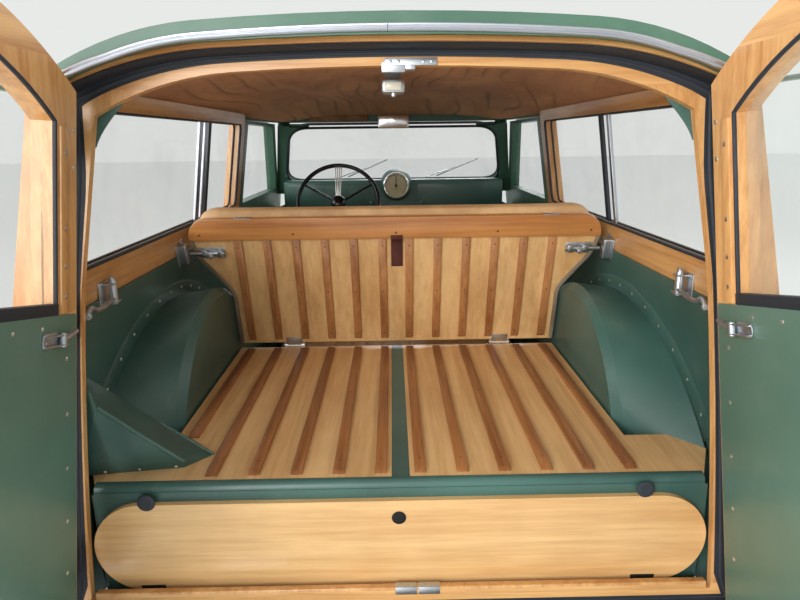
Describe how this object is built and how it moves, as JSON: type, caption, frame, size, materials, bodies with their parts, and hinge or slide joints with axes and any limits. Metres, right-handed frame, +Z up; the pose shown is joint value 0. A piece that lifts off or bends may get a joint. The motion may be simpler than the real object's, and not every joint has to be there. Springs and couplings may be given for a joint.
{
  "type": "station wagon",
  "caption": "Half-timbered station wagon with open tail doors, folding rear seat back, side doors, bonnet and steered front wheels.",
  "frame": {"origin": "on the ground in the middle of the car's box, tail doors open", "axes": "+Y forward, +X to the car's right, +Z up"},
  "size_m": [1.5414, 4.3394, 1.5873],
  "materials": {
    "body_green": "gloss",
    "ash": "satin varnish",
    "plywood": "satin varnish",
    "window_glass": "clear",
    "headlining_cloth": "matte",
    "seat_hide": "satin",
    "tyre_rubber": "matte",
    "wheel_paint": "gloss",
    "chassis_steel": "satin",
    "black_paint": "gloss",
    "black_plastic": "gloss",
    "bright_steel": "satin",
    "engine_iron": "painted",
    "exhaust_steel": "dull",
    "bumper_chrome": "polished",
    "lamp_red": "gloss"
  },
  "bodies": {
    "body": {"dashboard": "body_green", "engine_and_gearbox": "engine_iron", "exhaust": "exhaust_steel", "filler_box": "body_green", "floor_pan": "body_green", "front_body": "body_green", "front_bumper": "bumper_chrome", "front_seat_irons": "chassis_steel", "front_seats": "seat_hide", "front_suspension": "chassis_steel", "front_wings": "body_green", "fuel_tank": "black_paint", "grille": "body_green", "headlamps": "bumper_chrome", "headlining": "headlining_cloth", "inner_arches": "body_green", "load_deck": "body_green", "load_floor_boards": "plywood", "propeller_shaft": "chassis_steel", "rear_axle": "chassis_steel", "rear_bumpers": "bumper_chrome", "rear_cushion": "seat_hide", "rear_hoop": "ash", "rear_wings": "body_green", "roof": "body_green", "seat_back_pivots": "bright_steel", "side_linings": "body_green", "side_panels": "body_green", "side_windows": "window_glass", "spare_well": "body_green", "spare_wheel_board": "plywood", "steering_column": "black_paint", "tail_lamps": "lamp_red", "timber_sides": "ash", "windscreen": "window_glass"},
    "bonnet": {"bonnet": "body_green"},
    "door_left": {"door_left": "body_green", "door_left_glass": "window_glass"},
    "door_right": {"door_right": "body_green", "door_right_glass": "window_glass"},
    "knuckle_left": {"knuckle_left": "chassis_steel"},
    "knuckle_right": {"knuckle_right": "chassis_steel"},
    "rear_door_left": {"rear_door_left_frame": "ash", "rear_door_left_glass": "window_glass", "rear_door_left_panels": "body_green"},
    "rear_door_right": {"rear_door_right_frame": "ash", "rear_door_right_glass": "window_glass", "rear_door_right_panels": "body_green"},
    "seat_back": {"seat_back_board": "plywood", "seat_back_pad": "seat_hide"},
    "steering_wheel": {"steering_wheel": "black_plastic"},
    "wheel_front_left": {"tyre_front_left": "tyre_rubber", "wheel_front_left": "wheel_paint"},
    "wheel_front_right": {"tyre_front_right": "tyre_rubber", "wheel_front_right": "wheel_paint"},
    "wheel_rear_left": {"tyre_rear_left": "tyre_rubber", "wheel_rear_left": "wheel_paint"},
    "wheel_rear_right": {"tyre_rear_right": "tyre_rubber", "wheel_rear_right": "wheel_paint"}
  },
  "joints": [
    {"name": "steer_left", "type": "hinge", "parent": "body", "child": "knuckle_left", "pos_m": [-0.54, 1.48766, 0.3], "axis": [0, 0, 1], "range_deg": [-30, 30]},
    {"name": "steer_right", "type": "hinge", "parent": "body", "child": "knuckle_right", "pos_m": [0.54, 1.48766, 0.3], "axis": [0, 0, 1], "range_deg": [-30, 30]},
    {"name": "steering_wheel_turn", "type": "hinge", "parent": "body", "child": "steering_wheel", "pos_m": [-0.265, 0.43366, 1.02], "axis": [0, 0.8829, -0.4695], "range_deg": [-420, 420]},
    {"name": "wheel_front_left_spin", "type": "hinge", "parent": "knuckle_left", "child": "wheel_front_left", "pos_m": [-0.643, 1.48766, 0.3], "axis": [1, 0, 0], "continuous": true},
    {"name": "wheel_front_right_spin", "type": "hinge", "parent": "knuckle_right", "child": "wheel_front_right", "pos_m": [0.643, 1.48766, 0.3], "axis": [1, 0, 0], "continuous": true},
    {"name": "wheel_rear_left_spin", "type": "hinge", "parent": "body", "child": "wheel_rear_left", "pos_m": [-0.638, -0.69634, 0.3], "axis": [1, 0, 0], "continuous": true},
    {"name": "wheel_rear_right_spin", "type": "hinge", "parent": "body", "child": "wheel_rear_right", "pos_m": [0.638, -0.69634, 0.3], "axis": [1, 0, 0], "continuous": true},
    {"name": "door_left_hinge", "type": "hinge", "parent": "body", "child": "door_left", "pos_m": [-0.716, 0.87086, 0.43], "axis": [0, 0, 1], "range_deg": [-65, 0]},
    {"name": "door_right_hinge", "type": "hinge", "parent": "body", "child": "door_right", "pos_m": [0.716, 0.87086, 0.43], "axis": [0, 0, 1], "range_deg": [0, 65]},
    {"name": "rear_door_left_hinge", "type": "hinge", "parent": "body", "child": "rear_door_left", "pos_m": [-0.654, -1.53785, 0.41634], "axis": [0.0785, 0.1387, 0.9872], "range_deg": [0, 90]},
    {"name": "rear_door_right_hinge", "type": "hinge", "parent": "body", "child": "rear_door_right", "pos_m": [0.654, -1.53785, 0.41634], "axis": [-0.0785, 0.1387, 0.9872], "range_deg": [-90, 0]},
    {"name": "bonnet_hinge", "type": "hinge", "parent": "body", "child": "bonnet", "pos_m": [0, 1.00866, 1.058], "axis": [1, 0, 0], "range_deg": [0, 50]},
    {"name": "seat_back_fold", "type": "hinge", "parent": "body", "child": "seat_back", "pos_m": [0, -0.63034, 0.676], "axis": [1, 0, 0], "range_deg": [-104, 0]}
  ],
  "couplings": [
    {"joint": "steer_right", "follows": "steer_left", "ratio": 1},
    {"joint": "steering_wheel_turn", "follows": "steer_left", "ratio": -14}
  ]
}
